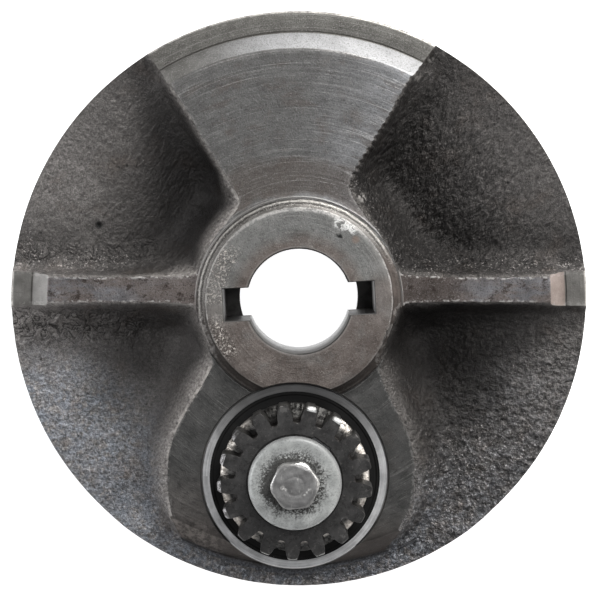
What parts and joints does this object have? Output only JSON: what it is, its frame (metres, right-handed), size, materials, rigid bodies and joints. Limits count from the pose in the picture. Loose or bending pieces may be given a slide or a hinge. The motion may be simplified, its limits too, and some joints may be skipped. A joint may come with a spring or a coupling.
{
  "type": "flywheel with eccentric pinion",
  "caption": "Cast iron flywheel disc with a keyed hub, side ribs, a wide turned sector and an offset bearing boss that carries a spur pinion on a sealed ball-bearing shaft.",
  "frame": {"origin": "on the axis of the main bore, at the back face of the disc", "axes": "+Z along the main bore, from the back face to the worked front face that carries the pinion; +Y from the bore towards the wide turned sector, away from the pinion"},
  "size_m": [0.222, 0.222, 0.0721],
  "materials": {
    "iron": "rough cast pockets with turned faces, worn and oiled",
    "race_steel": "satin ground",
    "ball_steel": "polished",
    "cage_steel": "pressed sheet",
    "seal_rubber": "matt black moulded",
    "turned_steel": "fine turned",
    "spring_steel": "phosphated",
    "gear_steel": "hardened dark, worn bright on the teeth",
    "zinc_steel": "dull zinc, stained round the bolt",
    "bolt_steel": "worn grey"
  },
  "bodies": {
    "wheel": {"flywheel_casting": "iron", "front_outer_race": "race_steel", "front_seal_outer": "seal_rubber", "front_seal_inner": "seal_rubber", "rear_outer_race": "race_steel", "rear_seal_inner": "seal_rubber", "rear_seal_outer": "seal_rubber", "retaining_ring": "spring_steel"},
    "pinion_shaft_set": {"pinion_shaft": "turned_steel", "pinion_gear": "gear_steel", "pinion_key": "turned_steel", "retaining_washer": "zinc_steel", "clamp_bolt": "bolt_steel", "front_inner_race": "race_steel", "rear_inner_race": "race_steel", "race_spacer": "turned_steel"},
    "front_ball_set": {"front_balls": "ball_steel", "front_cage_upper": "cage_steel", "front_cage_lower": "cage_steel", "front_cage_rivets": "cage_steel"},
    "rear_ball_set": {"rear_balls": "ball_steel", "rear_cage_upper": "cage_steel", "rear_cage_lower": "cage_steel", "rear_cage_rivets": "cage_steel"}
  },
  "joints": [
    {"name": "pinion_spin", "type": "hinge", "parent": "wheel", "child": "pinion_shaft_set", "pos_m": [-0.00165, -0.06748, 0.032], "axis": [0, 0, 1], "continuous": true},
    {"name": "front_ball_orbit", "type": "hinge", "parent": "wheel", "child": "front_ball_set", "pos_m": [-0.00165, -0.06748, 0.032], "axis": [0, 0, 1], "continuous": true},
    {"name": "rear_ball_orbit", "type": "hinge", "parent": "wheel", "child": "rear_ball_set", "pos_m": [-0.00165, -0.06748, 0.013], "axis": [0, 0, 1], "continuous": true}
  ],
  "couplings": [
    {"joint": "front_ball_orbit", "follows": "pinion_spin", "ratio": 0.3794},
    {"joint": "rear_ball_orbit", "follows": "pinion_spin", "ratio": 0.416}
  ]
}
